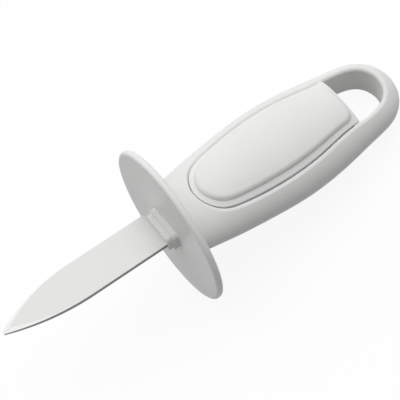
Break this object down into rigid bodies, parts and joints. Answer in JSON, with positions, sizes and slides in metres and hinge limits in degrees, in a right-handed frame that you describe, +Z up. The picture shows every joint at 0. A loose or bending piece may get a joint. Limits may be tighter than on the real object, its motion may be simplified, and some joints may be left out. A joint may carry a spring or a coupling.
{
  "type": "oyster knife",
  "caption": "Oyster knife: spear-shaped blade, thin round hand guard, and an oval moulded handle with raised grip covers and a D-shaped hanging loop.",
  "frame": {"origin": "on the table plane under the middle of the knife's box, as the knife lies on its guard's rim and the end of its loop", "axes": "+X from the blade's tip towards the hanging loop, along the table; +Z up, away from the table; the knife's own axis leans down towards the loop"},
  "size_m": [0.1598, 0.06, 0.0583],
  "materials": {
    "blade_steel": "fine ground stainless steel",
    "guard_plastic": "white moulded plastic, satin",
    "frame_plastic": "white moulded plastic, fine satin",
    "grip_plastic": "white moulded plastic, fine satin",
    "pin_steel": "plain turned steel"
  },
  "bodies": {
    "root": {"blade": "blade_steel", "guard": "guard_plastic", "handle_frame": "frame_plastic", "upper_grip_panel": "grip_plastic", "lower_grip_panel": "grip_plastic", "tang_pins": "pin_steel"}
  },
  "joints": []
}
